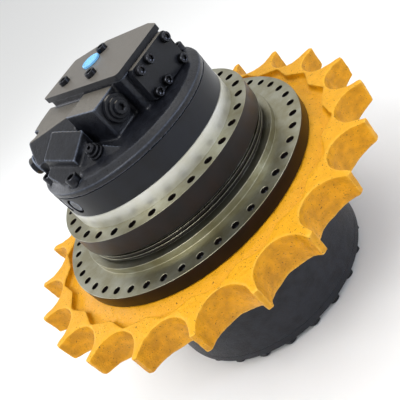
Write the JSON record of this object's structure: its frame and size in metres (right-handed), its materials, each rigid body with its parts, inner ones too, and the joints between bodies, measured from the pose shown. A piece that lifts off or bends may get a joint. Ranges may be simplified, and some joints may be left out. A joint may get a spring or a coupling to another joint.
{
  "type": "excavator final drive",
  "caption": "Track final drive of an excavator: hydraulic travel motor, two-stage planetary gearbox and toothed track sprocket on a hub that turns about a flanged spindle.",
  "frame": {"origin": "centre of the frame flange's face, where the drive bolts to the track frame", "axes": "+Z along the turning axis from the end cover to the motor; +Y away from the picture's camera"},
  "size_m": [0.6815, 0.6829, 0.515],
  "materials": {
    "machined_casting": "turned grey iron, casing painted black",
    "black_paint": "satin black enamel over cast iron",
    "hub_casting": "turned flange face, dark sides",
    "slate_paint": "satin slate black enamel",
    "orange_paint": "brushed-on orange yellow enamel over rough casting",
    "black_oxide": "black oxide fasteners",
    "zinc_steel": "zinc plated steel",
    "blue_plastic": "moulded polyethylene",
    "bearing_steel": "ground bearing steel",
    "gear_steel": "ground case-hardened steel",
    "carrier_iron": "machined nodular iron",
    "bronze": "bearing bronze",
    "seal_rubber": "nitrile rubber",
    "friction_lining": "sintered lining on steel"
  },
  "bodies": {
    "spindle": {"spindle_housing": "hub_casting", "motor_casing": "machined_casting", "rear_cover": "black_paint", "rear_cover_bolts": "black_oxide", "top_plate": "black_paint", "top_plate_screws": "black_oxide", "shipping_plug": "blue_plastic", "port_cover": "black_paint", "port_cover_screws": "black_oxide", "spool_plug": "black_paint", "relief_valves": "black_paint", "gauge_plugs": "black_paint", "main_bearing_inner_rings": "bearing_steel", "spindle_nut": "gear_steel", "spindle_seal_ring": "bearing_steel", "spindle_load_ring": "seal_rubber", "carrier_2": "carrier_iron", "carrier_2_pins": "bearing_steel", "carrier_2_washers": "bronze", "front_bearing_outer_ring": "bearing_steel", "shaft_seal": "seal_rubber", "rear_bush": "bronze", "swash_plate": "gear_steel", "valve_plate": "bronze", "brake_plates": "gear_steel", "brake_spring": "gear_steel"},
    "hub": {"hub_housing": "hub_casting", "main_bearing_outer_rings": "bearing_steel", "hub_seal_ring": "bearing_steel", "hub_load_ring": "seal_rubber", "sprocket": "orange_paint", "sprocket_bolts": "black_oxide", "ring_gear": "slate_paint", "end_cover": "slate_paint", "cover_bolts": "black_oxide", "oil_plugs": "zinc_steel", "thrust_pad": "bronze"},
    "motor_rotor": {"motor_shaft": "gear_steel", "sun_gear_1": "gear_steel", "front_bearing_inner_ring": "bearing_steel", "front_bearing_rollers": "bearing_steel", "cylinder_block": "gear_steel", "pistons": "bearing_steel", "piston_shoes": "bronze", "retainer_plate": "gear_steel", "brake_discs": "friction_lining"},
    "first_carrier": {"carrier_1": "carrier_iron", "carrier_1_pins": "bearing_steel", "carrier_1_washers": "bronze", "sun_gear_2": "gear_steel"},
    "main_rollers": {"main_bearing_rollers": "bearing_steel"},
    "spool": {"counterbalance_spool": "gear_steel"},
    "brake_piston": {"brake_piston": "carrier_iron"},
    "planet_1a": {"planet_gear_1a": "gear_steel"},
    "planet_2a": {"planet_gear_2a": "gear_steel"},
    "planet_1b": {"planet_gear_1b": "gear_steel"},
    "planet_2b": {"planet_gear_2b": "gear_steel"},
    "planet_1c": {"planet_gear_1c": "gear_steel"},
    "planet_2c": {"planet_gear_2c": "gear_steel"}
  },
  "joints": [
    {"name": "hub_spin", "type": "hinge", "parent": "spindle", "child": "hub", "pos_m": [0, 0, -0.1], "axis": [0, 0, 1], "continuous": true},
    {"name": "first_carrier_spin", "type": "hinge", "parent": "spindle", "child": "first_carrier", "pos_m": [0, 0, -0.27], "axis": [0, 0, 1], "continuous": true},
    {"name": "motor_rotor_spin", "type": "hinge", "parent": "spindle", "child": "motor_rotor", "pos_m": [0, 0, -0.1], "axis": [0, 0, 1], "continuous": true},
    {"name": "main_rollers_orbit", "type": "hinge", "parent": "spindle", "child": "main_rollers", "pos_m": [0, 0, -0.12], "axis": [0, 0, 1], "continuous": true},
    {"name": "planet_1a_spin", "type": "hinge", "parent": "first_carrier", "child": "planet_1a", "pos_m": [0.0975, 0, -0.3], "axis": [0, 0, 1], "continuous": true},
    {"name": "planet_2a_spin", "type": "hinge", "parent": "spindle", "child": "planet_2a", "pos_m": [0.105, 0, -0.23], "axis": [0, 0, 1], "continuous": true},
    {"name": "planet_1b_spin", "type": "hinge", "parent": "first_carrier", "child": "planet_1b", "pos_m": [-0.04875, 0.08444, -0.3], "axis": [0, 0, 1], "continuous": true},
    {"name": "planet_2b_spin", "type": "hinge", "parent": "spindle", "child": "planet_2b", "pos_m": [-0.0525, 0.09093, -0.23], "axis": [0, 0, 1], "continuous": true},
    {"name": "planet_1c_spin", "type": "hinge", "parent": "first_carrier", "child": "planet_1c", "pos_m": [-0.04875, -0.08444, -0.3], "axis": [0, 0, 1], "continuous": true},
    {"name": "planet_2c_spin", "type": "hinge", "parent": "spindle", "child": "planet_2c", "pos_m": [-0.0525, -0.09093, -0.23], "axis": [0, 0, 1], "continuous": true},
    {"name": "spool_slide", "type": "slide", "parent": "spindle", "child": "spool", "axis": [0.4924, -0.8704, 0], "range_m": [-0.006, 0.006], "stiffness_N_per_m": 8000},
    {"name": "brake_release", "type": "slide", "parent": "spindle", "child": "brake_piston", "axis": [0, 0, 1], "range_m": [0, 0.002], "stiffness_N_per_m": 20000, "springref_m": -0.002, "deforming": ["brake_spring"]}
  ],
  "couplings": [
    {"joint": "first_carrier_spin", "follows": "hub_spin", "ratio": -3.6667},
    {"joint": "motor_rotor_spin", "follows": "hub_spin", "ratio": -29.333},
    {"joint": "main_rollers_orbit", "follows": "hub_spin", "ratio": 0.538},
    {"joint": "planet_1a_spin", "follows": "hub_spin", "ratio": 11.407},
    {"joint": "planet_2a_spin", "follows": "hub_spin", "ratio": 2.75},
    {"joint": "planet_1b_spin", "follows": "hub_spin", "ratio": 11.407},
    {"joint": "planet_2b_spin", "follows": "hub_spin", "ratio": 2.75},
    {"joint": "planet_1c_spin", "follows": "hub_spin", "ratio": 11.407},
    {"joint": "planet_2c_spin", "follows": "hub_spin", "ratio": 2.75}
  ]
}
